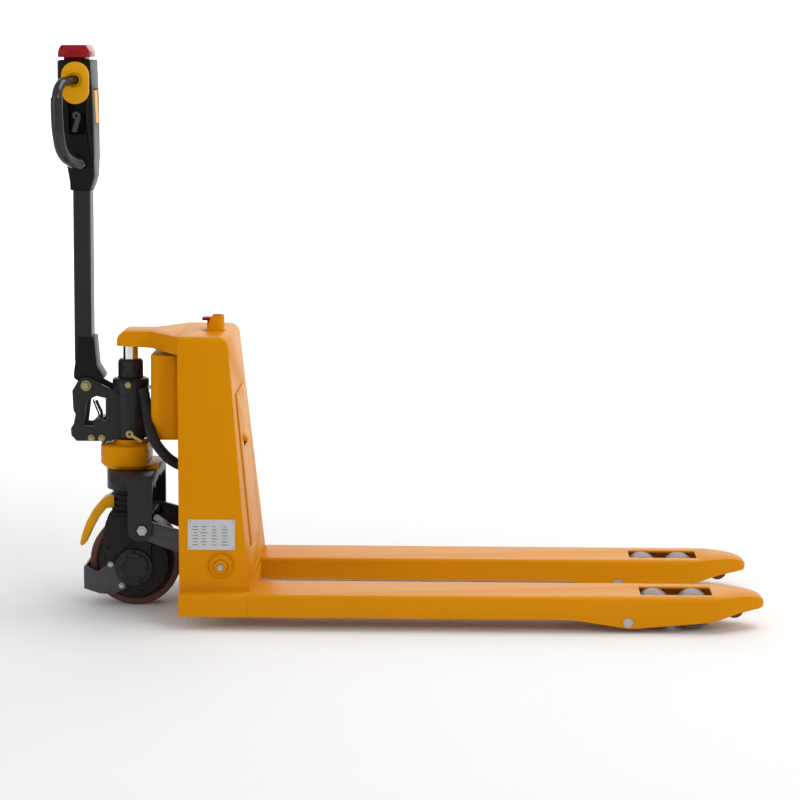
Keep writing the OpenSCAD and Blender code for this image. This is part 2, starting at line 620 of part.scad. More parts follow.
module electronics_case() {
  color(yellow) place() difference() {
    union() {
      translate([-upright_depth - 43, 0, 401]) linear_extrude(193) round_rect(74, 210, 24);
      translate([-upright_depth - 6, 0, 385]) along_x(4) polygon([[-176, 0], [176, 0], [150, 210], [-150, 210]]);
    }
    translate([-upright_depth - 38, 0, 405]) linear_extrude(185) round_rect(76, 200, 20);
  }
}
module battery_pack() {
  color([0.12, 0.2, 0.15]) place() {
    translate([-120, 0, 330]) linear_extrude(220) round_rect(60, 220, 6);
    for (s = [-1, 1]) translate([-120, s * 60, 550]) cylinder(r = 8, h = 12);
  }
}
module power_pack() {
  color([0.25, 0.25, 0.27]) place() {
    box(-130, -60, -85, 40, 215, 330);
    translate([-100, 75, 215]) cylinder(r = 34, h = 115);
  }
}
module battery_hatch() {
  color(yellow) place() on_front(330) union() {
    translate([0, 0, 0]) along_x(3) difference() {
      round_rect(192, 354, 6);
      for (s = [-1, 1]) translate([s * 30, 164]) circle(3.5);
      translate([0, 53]) round_rect(88, 15, 4);
    }
    translate([3, 0, 68]) rotate([90, 0, 0]) linear_extrude(88, center = true)
      polygon([[0, -9], [9, -9], [9, -5], [0, 9]]);
  }
}
module side_frame(x, z, s) { // lies flat on the sloping side wall
  a = atan((upright_foot_w - upright_top_w) / 2 / (upright_h - fork_top));
  translate([x, s * (upright_foot_w / 2 - tan(a) * (z - fork_top)), z]) rotate([s * a, 0, 0]) children();
}
module rating_plate() {
  color("silver") place() side_frame(-85, 205, -1) translate([0, -0.6, 0]) along_y(1.2) round_rect(106, 68, 3);
}
module plate_rivets() {
  color(zinc) place() side_frame(-85, 205, -1)
    for (sx = [-1, 1], sz = [-1, 1]) disc_y(sx * 48, -2, sz * 29, 2.2, 1.6);
}
module frame_pins() {
  color([0.3, 0.3, 0.3]) place() for (s = [-1, 1]) {
    disc_y(pin_x, s * fork_y, frame_pin_z, pin_r, fork_w);
    for (t = [-1, 1]) disc_y(pin_x, s * fork_y + t * (fork_w / 2 + 0.8), frame_pin_z, 11, 1.6);
    disc_y(entry_x, s * fork_y, entry_z, 4, 49);
  }
}
module disconnect_shroud() {
  x0 = -upright_depth + 35;
  color(yellow) place() difference() {
    translate([x0, 0, upright_h]) union() {
      linear_extrude(34) difference() {
        round_rect_at(23, 0, 46, 44, 16);
        round_rect_at(19, 0, 46, 38, 13);
        translate([-10, -30]) square([13, 60]);
      }
      linear_extrude(3) difference() {
        round_rect_at(23, 0, 50, 56, 10);
        translate([12, 0]) circle(6.5);
      }
    }
    translate([x0 - 10, -40, upright_h + 6]) rotate([0, 20, 0]) cube([16, 80, 60]);
  }
}
module round_rect_at(x, y, w, h, r) { translate([x, y]) round_rect(w, h, r); }
module disconnect_plug() {
  x0 = -upright_depth + 47;
  color([0.75, 0.1, 0.12]) place() translate([x0, 0, 0]) {
    translate([0, 0, upright_h - 30]) cylinder(r = 6, h = 52);
    translate([-4, 0, upright_h + 22]) linear_extrude(8) round_rect(26, 30, 7);
  }
}
module cable_loom() {
  color([0.1, 0.1, 0.1]) place() sweep(spline([[steer_x + 32, -44, 508], [steer_x + 38, -52, 480],
    [steer_x + 44, -74, 450], [steer_x + 58, -112, 410], [steer_x + 82, -116, 376], [steer_x + 110, -106, 350],
    [steer_x + 128, -100, 342], [steer_x + 142.4, -100, 342]], 5), [0, 1, 0], 10, 9, 12);
}

// ---------- lift linkage ----------
arm_dx = link_x + torsion_back;
arm_dz = link_z - torsion_z;
arm_a = atan2(arm_dz, -arm_dx);
arm_len = norm([arm_dx, arm_dz]);
lug_a = asin(rod_stroke / 2 / 73.1);
module torsion_shaft() {
  color([0.3, 0.3, 0.33]) place() translate([-torsion_back, 0, torsion_z]) {
    difference() {
      union() {
        rod_y(shaft_r, 467);
        for (s = [-1, 1]) translate([0, s * (arm_y + arm_t / 2), 0]) rotate([0, arm_a, 0]) along_y(arm_t)
          difference() {
            union() {
              translate([-arm_len + 5, 0]) circle(22);
              circle(30);
              polygon([[-arm_len + 5, -22], [0, -30], [0, 30], [-arm_len + 5, 22]]);
            }
            translate([-arm_len, 0]) slot2(pin_r + 1.6, 10);
          }
        for (s = [-1, 1]) translate([0, s * fork_y, 0]) rotate([0, lug_a, 0]) along_y(10.8) difference() {
          union() {
            translate([-14, -71.6]) square([28, 71.6]);
            translate([0, -71.6]) circle(14);
          }
          translate([0, -73.1]) rotate(90) slot2(8, 3);
        }
      }
    }
  }
}
module shaft_bolts() {
  color(zinc) place() for (s = [-1, 1]) {
    disc_y(-torsion_back, s * 235, torsion_z, 15, 3);
    hex_y(-torsion_back, s * 239, torsion_z, 11, 5);
  }
}
module push_rod(s) {
  x0 = -torsion_back - rod_stroke / 2;
  x1 = pin_x - rod_stroke / 2;
  tilt = atan2(rod_rear_z - rod_front_z, x1 - x0);
  translate([0, s * fork_y, 0]) {
    translate([x0 + 26, 0, rod_rear_z]) rotate([0, 90 + tilt, 0]) cylinder(r = 7, h = x1 - x0 - 54);
    push_end(x0, rod_rear_z, 1, 11);
    push_end(x1, rod_front_z, -1, 11);
  }
}
module push_end(x, z, d, r) {
  for (s = [-1, 1]) translate([x, s * 9, z]) union() {
    rod_y(r, 6);
    translate([d > 0 ? 0 : -33, -3, -8]) cube([33, 6, 16]);
  }
  translate([d > 0 ? x + 23 : x - 33, -6.5, z - 8]) cube([10, 13, 16]);
  disc_y(x, 0, z, 6, 22);
}
module push_rod_left() { color([0.3, 0.3, 0.3]) place() push_rod(1); }
module push_rod_right() { color([0.3, 0.3, 0.3]) place() push_rod(-1); }
frame_turn = 77.2;
module wheel_frame(s) {
  translate([pin_x, s * fork_y, frame_pin_z]) {
    difference() {
      union() {
        for (t = [-1, 1]) translate([0, t * 46, 0]) along_y(8) {
          circle(15);
          translate([frame_reach, roller_z - frame_pin_z]) circle(14);
          polygon([[0, -14], [frame_reach, 1], [frame_reach, 29], [0, 15]]);
        }
        rod_y(13, 92);
        rotate([0, -frame_turn / 2, 0]) along_y(10.8) difference() {
          union() {
            translate([-13, 0]) square([26, 36]);
            translate([0, 36]) circle(13);
          }
          translate([0, 30]) rotate(90) slot2(8.2, 6);
        }
      }
      rod_y(pin_r + fit, 120);
      translate([frame_reach, 0, roller_z - frame_pin_z]) rod_y(pin_r, 120);
    }
    for (t = [-1, 1]) translate([frame_reach, t * 43, roller_z - frame_pin_z]) rod_y(pin_r - 0.02, 14);
  }
}
module wheel_frame_left() { color(yellow * 0.9) place() wheel_frame(1); }
module wheel_frame_right() { color(yellow * 0.9) place() wheel_frame(-1); }
module bogie(s) {
  translate([bogie_x, s * fork_y, roller_z]) {
    for (t = [-1, 1]) difference() {
      translate([0, t * 38.7, 0]) along_y(5) {
        square([bogie_pitch, 28], center = true);
        for (u = [-1, 1]) translate([u * bogie_pitch / 2, 0]) circle(14);
      }
      rod_y(pin_r + fit, 120);
      for (u = [-1, 1]) translate([u * bogie_pitch / 2, 0, 0]) rod_y(pin_r, 120);
    }
    for (u = [-1, 1]) translate([u * bogie_pitch / 2, 0, 0]) rod_y(pin_r - 0.02, 82.8);
  }
}
module bogie_left() { color([0.3, 0.3, 0.3]) place() bogie(1); }
module bogie_right() { color([0.3, 0.3, 0.3]) place() bogie(-1); }
module roller(u, s) {
  color([0.45, 0.17, 0.1]) place() translate([bogie_x + u * bogie_pitch / 2, s * fork_y, roller_z])
    rotate([90, 0, 0]) rotate_extrude() polygon([[pin_r + 0.03, -roller_w / 2], [24, -roller_w / 2],
      [26, -roller_w / 2 + 3], [roller_d / 2 - 4, -roller_w / 2 + 1], [roller_d / 2, -roller_w / 2 + 4],
      [roller_d / 2, roller_w / 2 - 4], [roller_d / 2 - 4, roller_w / 2 - 1], [26, roller_w / 2 - 3],
      [24, roller_w / 2], [pin_r + 0.03, roller_w / 2]]);
}
module roller_front_left() { roller(1, 1); }
module roller_rear_left() { roller(-1, 1); }
module roller_front_right() { roller(1, -1); }
module roller_rear_right() { roller(-1, -1); }
module entry_rollers() {
  color([0.45, 0.17, 0.1]) place() for (s = [-1, 1]) translate([entry_x, s * fork_y, entry_z]) difference() {
    rod_y(entry_d / 2, 40);
    rod_y(4 + fit, 60);
  }
}

mount_collar();
mount_bracket();
link_pins();
steering_bearings();
pump_body();
gland_nut();
drive_neck();
gear_case();
hub_cover();
drive_screws();
traction_motor();
foot_guard();
fender();
tiller_bracket();
bracket_bolts();
return_spring();
valve_block();
tiller_cables();
drive_hub();
drive_tyre();
tiller_socket();
tiller_tube();
head_housing();
head_trim();
grip_left();
grip_right();
throttle_knobs();
belly_button();
lift_lever();
lower_lever();
release_lever();
upright();
chassis_base();
fork_left();
fork_right();
head_bracket();
ram();
electronics_case();
battery_pack();
power_pack();
battery_hatch();
rating_plate();
plate_rivets();
frame_pins();
disconnect_shroud();
cable_loom();
torsion_shaft();
shaft_bolts();
push_rod_left();
push_rod_right();
wheel_frame_left();
wheel_frame_right();
bogie_left();
bogie_right();
roller_front_left();
roller_rear_left();
roller_front_right();
roller_rear_right();
entry_rollers();
disconnect_plug();
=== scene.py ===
# %% [markdown]
# # An electric pallet truck, dressed for the studio
# The truck arrives as a set of exact CAD solids. In this lesson each solid keeps its place, and we
# give it softened edges, a finish and the small pieces that make a machine look real. We start by
# loading the solids.

# %% Load the truck
import json
import math

import bmesh
import bpy
from mathutils import Matrix, Vector

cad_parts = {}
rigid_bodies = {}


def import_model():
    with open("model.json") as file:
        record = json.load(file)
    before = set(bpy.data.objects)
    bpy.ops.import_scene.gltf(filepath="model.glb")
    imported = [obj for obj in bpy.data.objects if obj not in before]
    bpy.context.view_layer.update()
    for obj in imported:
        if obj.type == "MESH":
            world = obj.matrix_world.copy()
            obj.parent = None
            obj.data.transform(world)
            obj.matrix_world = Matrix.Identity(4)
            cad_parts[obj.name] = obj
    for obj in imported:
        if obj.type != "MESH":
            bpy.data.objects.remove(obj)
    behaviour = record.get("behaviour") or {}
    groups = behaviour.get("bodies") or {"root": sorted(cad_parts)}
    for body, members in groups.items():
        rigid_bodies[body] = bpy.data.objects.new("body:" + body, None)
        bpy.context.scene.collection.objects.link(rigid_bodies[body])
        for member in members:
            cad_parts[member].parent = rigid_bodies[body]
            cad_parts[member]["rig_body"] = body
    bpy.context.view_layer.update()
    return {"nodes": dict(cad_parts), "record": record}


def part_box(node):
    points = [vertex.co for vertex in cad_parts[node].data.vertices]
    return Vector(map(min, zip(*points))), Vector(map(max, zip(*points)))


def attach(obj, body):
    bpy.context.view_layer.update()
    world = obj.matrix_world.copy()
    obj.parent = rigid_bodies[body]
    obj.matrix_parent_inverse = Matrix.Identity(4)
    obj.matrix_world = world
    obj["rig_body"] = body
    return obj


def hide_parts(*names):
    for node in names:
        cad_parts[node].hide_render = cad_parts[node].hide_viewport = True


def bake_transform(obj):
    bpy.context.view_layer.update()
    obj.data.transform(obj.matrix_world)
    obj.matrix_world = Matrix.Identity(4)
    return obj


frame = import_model()
body_of = {n: b for b, ns in frame["record"]["behaviour"]["bodies"].items() for n in ns}
slot_of = {s["node"]: s["material_slot"] for s in frame["record"]["subparts"]}


def low_high(node):
    """Lowest and highest corner of a CAD node."""
    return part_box(node)


def middle(node):
    """Centre of a CAD node's box."""
    a, b = low_high(node)
    return (a + b) / 2


# %% [markdown]
# ## The camera
# A picture of a long machine is taken from far away with a long lens, so that its near
# and far forks are almost the same size. We stand a little above the tiller, look slightly down,
# and use a small lens shift to centre the truck instead of tilting more, which keeps the tall
# parts upright.

# %% Set the camera
lens_mm = 112.6
eye = Vector((0.1314, -5.7407, 1.3594))
yaw, pitch, roll = -0.00788, 0.11329, 0.00656
camera = bpy.data.objects.new("Camera", bpy.data.cameras.new("Camera"))
camera.data.lens = lens_mm
camera.data.sensor_width = 36
camera.data.shift_x = -0.06
camera.data.shift_y = -0.12
camera.data.clip_end = 60
look = Vector((math.sin(yaw) * math.cos(pitch), math.cos(yaw) * math.cos(pitch), -math.sin(pitch)))
turn = look.to_track_quat("-Z", "Y").to_matrix().to_4x4()
camera.matrix_world = Matrix.Translation(eye) @ turn @ Matrix.Rotation(roll, 4, "Z")
bpy.context.scene.collection.objects.link(camera)
bpy.context.scene.camera = camera
print("camera at", [round(v, 3) for v in eye])

# %% [markdown]
# ## The studio
# A white sweep and big soft lamps give the even light of a catalogue picture. One sheet that
# curves up behind the truck has no horizon line, and a very large lamp overhead makes the broad
# soft glare on the forks and on the sloping front panel.

# %% Build the sweep and the lamps
def studio_sheet(width, front, back, height, bend):
    """A floor that curves up into a wall."""
    steps = 12
    line = [(front, 0.0), (back - bend, 0.0)]
    line += [(back - bend + bend * math.sin(a), bend - bend * math.cos(a))
             for a in [math.pi / 2 * k / steps for k in range(1, steps + 1)]]
    line += [(back, height)]
    points = [(x, y, z) for y, z in line for x in (-width, width)]
    faces = [(2 * k, 2 * k + 1, 2 * k + 3, 2 * k + 2) for k in range(len(line) - 1)]
    mesh = bpy.data.meshes.new("Sweep")
    mesh.from_pydata(points, [], faces)
    for p in mesh.polygons:
        p.use_smooth = True
    return bpy.data.objects.new("Sweep", mesh)


sweep = studio_sheet(14, -12, 9, 9, 3)
bpy.context.scene.collection.objects.link(sweep)
paper = bpy.data.materials.new("Studio paper")
paper.use_nodes = True
paper.node_tree.nodes["Principled BSDF"].inputs["Base Color"].default_value = (0.93, 0.93, 0.93, 1)
paper.node_tree.nodes["Principled BSDF"].inputs["Roughness"].default_value = 0.9
sweep.data.materials.append(paper)


def lamp(name, place, target, size, watts):
    """A square soft box that points at a target."""
    data = bpy.data.lights.new(name, "AREA")
    data.size = size
    data.energy = watts
    box = bpy.data.objects.new(name, data)
    box.location = place
    box.rotation_euler = (Vector(target) - Vector(place)).to_track_quat("-Z", "Y").to_euler()
    bpy.context.scene.collection.objects.link(box)


lamp("Overhead box", (1.8, 0.5, 4.2), (0, 0, 0), 3.4, 85)
lamp("Key box", (3.6, -4.2, 3.2), (0, 0, 0.4), 2.6, 62)
lamp("Fill box", (-4.6, -3.6, 2.0), (-0.3, 0, 0.5), 3.0, 40)
lamp("Backdrop box", (0.5, 4.6, 5.4), (0.5, 9, 2.2), 4.0, 460)
world = bpy.data.worlds.new("Studio air")
world.use_nodes = True
world.node_tree.nodes["Background"].inputs["Color"].default_value = (1, 1, 1, 1)
world.node_tree.nodes["Background"].inputs["Strength"].default_value = 0.55
bpy.context.scene.world = world
bpy.context.scene.view_settings.view_transform = "Standard"
print("studio ready")

# %% [markdown]
# ## Shared effects
# Every painted or moulded surface has the same three small faults: its colour drifts a little, its
# gloss is uneven, and its skin isn't flat. We could repeat those nodes in each material. A node
# group is better: it is built once, and each material gives it its own numbers. The group puts out
# only what varies, a colour, a roughness and a normal, and the shader stays in the material.

# %% The surface group
def surface_group():
    """Uneven colour, gloss and skin, with dust that gathers near the floor."""
    tree = bpy.data.node_groups.new("Worn surface", "ShaderNodeTree")
    new = tree.interface.new_socket
    colour = new(name="Colour", in_out="INPUT", socket_type="NodeSocketColor")
    colour.default_value = (0.5, 0.5, 0.5, 1)
    for name, value in [("Drift", 0.05), ("Roughness", 0.4), ("Gloss drift", 0.1), ("Skin scale", 300.0),
                        ("Skin depth", 0.1), ("Dust", 0.1)]:
        socket = new(name=name, in_out="INPUT", socket_type="NodeSocketFloat")
        socket.default_value = value
    for name, kind in [("Colour", "NodeSocketColor"), ("Roughness", "NodeSocketFloat"),
                       ("Normal", "NodeSocketVector")]:
        new(name=name, in_out="OUTPUT", socket_type=kind)
    nodes, links = tree.nodes, tree.links
    source, result = nodes.new("NodeGroupInput"), nodes.new("NodeGroupOutput")
    place = nodes.new("ShaderNodeTexCoord")

    def noise(scale, detail):
        n = nodes.new("ShaderNodeTexNoise")
        n.inputs["Scale"].default_value = scale
        n.inputs["Detail"].default_value = detail
        links.new(place.outputs["Object"], n.inputs["Vector"])
        return n

    def maths(kind, a, b):
        n = nodes.new("ShaderNodeMath")
        n.operation = kind
        for k, v in enumerate((a, b)):
            if isinstance(v, (int, float)):
                n.inputs[k].default_value = v
            else:
                links.new(v, n.inputs[k])
        return n.outputs[0]

    clouds = noise(6, 5)
    specks = noise(90, 3)
    shade = maths("MULTIPLY", maths("SUBTRACT", clouds.outputs["Fac"], 0.5), source.outputs["Drift"])
    bright = nodes.new("ShaderNodeHueSaturation")
    links.new(maths("ADD", 1.0, maths("MULTIPLY", shade, 4.0)), bright.inputs["Value"])
    links.new(source.outputs["Colour"], bright.inputs["Color"])
    split = nodes.new("ShaderNodeSeparateXYZ")
    links.new(place.outputs["Object"], split.inputs[0])
    height = nodes.new("ShaderNodeMapRange")
    height.inputs["From Min"].default_value = 0.0
    height.inputs["From Max"].default_value = 0.3
    height.inputs["To Min"].default_value = 1.0
    height.inputs["To Max"].default_value = 0.15
    links.new(split.outputs["Z"], height.inputs["Value"])
    patch = maths("MULTIPLY", height.outputs[0], specks.outputs["Fac"])
    amount = maths("MULTIPLY", patch, source.outputs["Dust"])
    dust = nodes.new("ShaderNodeMix")
    dust.data_type = "RGBA"
    dust.inputs["B"].default_value = (0.42, 0.38, 0.33, 1)
    links.new(amount, dust.inputs["Factor"])
    links.new(bright.outputs["Color"], dust.inputs["A"])
    links.new(dust.outputs["Result"], result.inputs["Colour"])
    gloss = maths("MULTIPLY", maths("SUBTRACT", specks.outputs["Fac"], 0.5), source.outputs["Gloss drift"])
    links.new(maths("ADD", maths("ADD", source.outputs["Roughness"], gloss), maths("MULTIPLY", amount, 0.5)),
              result.inputs["Roughness"])
    skin = nodes.new("ShaderNodeTexNoise")
    skin.inputs["Detail"].default_value = 2
    links.new(place.outputs["Object"], skin.inputs["Vector"])
    links.new(source.outputs["Skin scale"], skin.inputs["Scale"])
    bump = nodes.new("ShaderNodeBump")
    bump.inputs["Distance"].default_value = 0.0006
    links.new(source.outputs["Skin depth"], bump.inputs["Strength"])
    links.new(skin.outputs["Fac"], bump.inputs["Height"])
    links.new(bump.outputs["Normal"], result.inputs["Normal"])
    return tree


worn_surface = surface_group()
print("group", worn_surface.name)

# %% [markdown]
# ## The finishes
# Each finish is one call: its colour, how rough and how metallic it is, and how strongly the
# shared faults show. The yellow powder coat is nearly matt, so it keeps its deep colour under large
# lamps. Cast parts get a deep coarse skin, plastic a fine one.

# %% Mix the finishes
finishes = {}


def finish(name, colour, rough, metal=0.0, coat=0.0, drift=0.04, gloss=0.1, scale=350, depth=0.12, dust=0.05,
           shine=0.3):
    """One procedural material for one of the record's slots."""
    material = bpy.data.materials.new(name.replace("_", " "))
    material.use_nodes = True
    nodes, links = material.node_tree.nodes, material.node_tree.links
    shader = nodes["Principled BSDF"]
    shader.inputs["Metallic"].default_value = metal
    shader.inputs["Coat Weight"].default_value = coat
    shader.inputs["Specular IOR Level"].default_value = 0.5 if metal else shine
    shader.inputs["Coat Roughness"].default_value = 0.12
    group = nodes.new("ShaderNodeGroup")
    group.node_tree = worn_surface
    faults = {"Colour": (*colour, 1), "Drift": drift, "Roughness": rough, "Gloss drift": gloss,
              "Skin scale": scale, "Skin depth": depth, "Dust": dust}
    for key, value in faults.items():
        group.inputs[key].default_value = value
    links.new(group.outputs["Colour"], shader.inputs["Base Color"])
    links.new(group.outputs["Roughness"], shader.inputs["Roughness"])
    links.new(group.outputs["Normal"], shader.inputs["Normal"])
    finishes[name] = material
    return material


finish("yellow_paint", (0.66, 0.25, 0.0008), 0.34, drift=0.02, scale=260, depth=0.1, dust=0.02, shine=0.03)
finish("black_paint", (0.014, 0.014, 0.015), 0.4, depth=0.15, shine=0.25)
finish("grey_paint", (0.05, 0.05, 0.058), 0.42, coat=0.05, depth=0.15)
finish("cast_black", (0.009, 0.009, 0.008), 0.5, drift=0.06, scale=180, depth=0.6, dust=0.04, shine=0.16)
finish("zinc_plate", (0.42, 0.42, 0.42), 0.3, metal=1.0, drift=0.05, scale=600, depth=0.1)
finish("gold_zinc", (0.42, 0.35, 0.17), 0.34, metal=1.0, drift=0.06, scale=600, depth=0.1)
finish("chrome_ram", (0.82, 0.83, 0.85), 0.08, metal=1.0, gloss=0.04, depth=0.02, dust=0.02)
finish("bearing_steel", (0.6, 0.6, 0.62), 0.25, metal=1.0, scale=700, depth=0.08)
finish("red_plastic", (0.26, 0.003, 0.006), 0.28, shine=0.2, depth=0.04, dust=0.02)
finish("yellow_plastic", (0.74, 0.34, 0.002), 0.4, scale=700, depth=0.1, dust=0.02, shine=0.12)
finish("black_plastic", (0.005, 0.005, 0.004), 0.42, scale=900, depth=0.35, dust=0.02, shine=0.14)
finish("black_rubber", (0.012, 0.012, 0.012), 0.72, scale=500, depth=0.3, dust=0.12)
finish("red_tread", (0.1, 0.022, 0.01), 0.42, drift=0.08, scale=140, depth=0.2, dust=0.12)
finish("roller_tread", (0.2, 0.15, 0.15), 0.45, drift=0.06, scale=160, depth=0.15, dust=0.2)
finish("brass_lever", (0.42, 0.3, 0.13), 0.35, metal=1.0, drift=0.06, depth=0.2)
finish("silver_plate", (0.66, 0.67, 0.69), 0.34, metal=0.9, scale=900, depth=0.1, dust=0.03)
finish("battery_shell", (0.02, 0.06, 0.035), 0.5, depth=0.2)
print("finishes", len(finishes))

# %% [markdown]
# ## Softened edges
# A CAD solid has perfectly sharp edges, and a sharp edge never catches the light. Real sheet steel
# and castings have a small round on every edge. We could bevel by hand, but the rule is simple:
# copy the solid, join its loose triangles, turn flat areas back into whole faces, and round every
# edge that turns by more than thirty degrees. Where the round pushes a corner out past the solid,
# half the round is tried, and then a quarter, which is kept either way. The copy then stands for
# the solid.

# %% Round the edges of a solid
def settle(obj, body, slot, nodes=()):
    """Rides a finished piece on its body, gives it its finish, and hides the CAD nodes it stands for."""
    bpy.context.scene.collection.objects.link(obj)
    if not obj.data.materials:
        obj.data.materials.append(finishes[slot])
    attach(obj, body)
    if nodes:
        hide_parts(*nodes)
    return obj


def shade_by_angle(mesh, degrees):
    """Smooth faces, with the sharper edges kept crisp."""
    bm = bmesh.new()
    bm.from_mesh(mesh)
    for f in bm.faces:
        f.smooth = True
    for e in bm.edges:
        e.smooth = len(e.link_faces) == 2 and e.calc_face_angle(0) < math.radians(degrees)
    bm.to_mesh(mesh)
    bm.free()


def soften(node, round_by, segments=2, sharp=30):
    """A copy of a CAD node with its edges rounded, less where the full round doesn't fit."""
    low, high = low_high(node)
    for width in (round_by, round_by / 2, round_by / 4):
        bm = bmesh.new()
        bm.from_mesh(frame["nodes"][node].data)
        bmesh.ops.remove_doubles(bm, verts=bm.verts, dist=2e-5)
        bmesh.ops.dissolve_limit(bm, angle_limit=math.radians(0.6), verts=bm.verts, edges=bm.edges)
        edges = [e for e in bm.edges if len(e.link_faces) == 2 and e.calc_face_angle(0) > math.radians(sharp)]
        bmesh.ops.bevel(bm, geom=edges, offset=width, segments=segments, profile=0.5, affect="EDGES",
                        clamp_overlap=False, miter_outer="ARC")
        mesh = bpy.data.meshes.new(node + "_soft")
        bm.to_mesh(mesh)
        bm.free()
        if all(low[k] - 2e-4 < v.co[k] < high[k] + 2e-4 for v in mesh.vertices for k in range(3)):
            break
        print("less round on", node, width)
    shade_by_angle(mesh, 38)
    mesh.materials.clear()
    return settle(bpy.data.objects.new(node + "_soft", mesh), body_of[node], slot_of[node], [node])


rounds = {
    "upright": 0.0012, "fork_left": 0.0012, "fork_right": 0.0012, "chassis_base": 0.001,
    "mount_collar": 0.0015, "mount_bracket": 0.0012, "torsion_shaft": 0.001, "gear_case": 0.002,
    "hub_cover": 0.0012, "foot_guard": 0.001, "fender": 0.002, "tiller_bracket": 0.001,
    "tiller_socket": 0.002, "head_housing": 0.004, "belly_button": 0.003, "throttle_knobs": 0.0025,
    "head_bracket": 0.0015, "battery_hatch": 0.0007, "disconnect_shroud": 0.0012,
    "disconnect_plug": 0.0018, "electronics_case": 0.0015, "gland_nut": 0.001, "release_lever": 0.001,
    "lift_lever": 0.0015, "lower_lever": 0.0015, "wheel_frame_left": 0.001, "wheel_frame_right": 0.001,
    "traction_motor": 0.001, "battery_pack": 0.002, "power_pack": 0.002, "valve_block": 0.001,
    "pump_body": 0.001}
plated = {"frame_pins": "zinc_plate"}
for node, width in rounds.items():
    soften(node, width)
for node, obj in frame["nodes"].items():
    if not obj.hide_render:
        obj.data.materials.clear()
        obj.data.materials.append(finishes[plated.get(node, slot_of[node])])
print("softened", len(rounds), "kept as they are", len(frame["nodes"]) - len(rounds))

# %% [markdown]
# ## Small parts from Geometry Nodes
# A truck like this has dozens of small parts that repeat or follow a path: bolts, rivets, weld
# beads, rubber treads, hoses. We could model one and copy it by hand. A Geometry Nodes tree is
# better: its named inputs hold the sizes, and one tree makes every bolt on the machine. Each tree
# ends by turning its instances into real mesh, because an exported model keeps no instances, and
# the result is then taken as a plain mesh with no modifier left on it.

# %% Helpers for the trees
INPUT_KINDS = {"float": "NodeSocketFloat", "int": "NodeSocketInt", "vector": "NodeSocketVector",
               "material": "NodeSocketMaterial"}


def start_tree(name, inputs):
    """A tree with a geometry input, named sizes and a geometry output."""
    tree = bpy.data.node_groups.new(name, "GeometryNodeTree")
    tree.interface.new_socket(name="Geometry", in_out="INPUT", socket_type="NodeSocketGeometry")
    for label, kind, value in inputs:
        socket = tree.interface.new_socket(name=label, in_out="INPUT", socket_type=INPUT_KINDS[kind])
        if value is not None:
            socket.default_value = value
    tree.interface.new_socket(name="Geometry", in_out="OUTPUT", socket_type="NodeSocketGeometry")
    return tree, tree.nodes.new("NodeGroupInput"), tree.nodes.new("NodeGroupOutput")


def add(tree, kind, settings=None, **wires):
    """A node fed with values or sockets; i0 is its first input, and an underscore stands for a space."""
    node = tree.nodes.new(kind)
    for key, value in (settings or {}).items():
        setattr(node, key, value)
    for key, value in wires.items():
        numbered = key[0] == "i" and key[1:].isdigit()
        socket = node.inputs[int(key[1:]) if numbered else key.replace("_", " ")]
        if isinstance(value, bpy.types.NodeSocket):
            tree.links.new(value, socket)
        else:
            socket.default_value = value
    return node


def reckon(tree, operation, *values):
    """A maths node on up to three values."""
    return add(tree, "ShaderNodeMath", {"operation": operation}, **{f"i{k}": v for k, v in enumerate(values)})


def close_tree(tree, result, geometry, source):
    """Real mesh and a finish at the end of a tree."""
    real = add(tree, "GeometryNodeRealizeInstances", Geometry=geometry)
    smooth = add(tree, "GeometryNodeSetShadeSmooth", Geometry=real.outputs[0])
    painted = add(tree, "GeometryNodeSetMaterial", Geometry=smooth.outputs[0],
                  Material=source.outputs["Finish"])
    tree.links.new(painted.outputs[0], result.inputs[0])


def grow(name, data, tree, body, slot, sizes, nodes=(), sharp=40):
    """Runs a tree on a mesh or curve and settles the plain mesh that comes out."""
    seed = bpy.data.objects.new(name + "_seed", data)
    bpy.context.scene.collection.objects.link(seed)
    maker = seed.modifiers.new("Make", "NODES")
    maker.node_group = tree
    names = {i.name: i.identifier for i in tree.interface.items_tree if i.in_out == "INPUT"}
    for key, value in dict(sizes, Finish=finishes[slot]).items():
        maker[names[key]] = value
    seen = seed.evaluated_get(bpy.context.evaluated_depsgraph_get())
    mesh = bpy.data.meshes.new_from_object(seen)
    bpy.data.objects.remove(seed)
    shade_by_angle(mesh, sharp)
    return settle(bpy.data.objects.new(name, mesh), body, slot, nodes)


# %% [markdown]
# ## Cords, loops and coils
# A hose, a hand loop, a spring and a bead of weld are the same thing to a modeller: a round
# section drawn along a path. The tree resamples the path, works out a radius at each point, with a
# ripple for a braided sleeve or a bead, and sweeps a circle along it.

# %% The sweep tree
def sweep_tree():
    """A round section along a curve, with a ripple on its radius."""
    tree, source, result = start_tree("Drawn along a path", [
        ("Radius", "float", 0.01), ("Ripple", "float", 0.0), ("Pitch", "float", 0.01),
        ("Step", "float", 0.002), ("Sides", "int", 16), ("Finish", "material", None)])
    even = add(tree, "GeometryNodeResampleCurve", {"mode": "LENGTH"}, Curve=source.outputs["Geometry"],
               Length=source.outputs["Step"])
    along = add(tree, "GeometryNodeSplineParameter")
    turns = reckon(tree, "DIVIDE", along.outputs["Length"], source.outputs["Pitch"])
    wave = reckon(tree, "SINE", reckon(tree, "MULTIPLY", turns.outputs[0], 2 * math.pi).outputs[0])
    ripple = reckon(tree, "MULTIPLY", wave.outputs[0], source.outputs["Ripple"])
    radius = reckon(tree, "ADD", ripple.outputs[0], source.outputs["Radius"])
    circle = add(tree, "GeometryNodeCurvePrimitiveCircle", Resolution=source.outputs["Sides"], Radius=1.0)
    tube = add(tree, "GeometryNodeCurveToMesh", Curve=even.outputs[0], Profile_Curve=circle.outputs[0],
               Scale=radius.outputs[0], Fill_Caps=True)
    close_tree(tree, result, tube.outputs[0], source)
    return tree


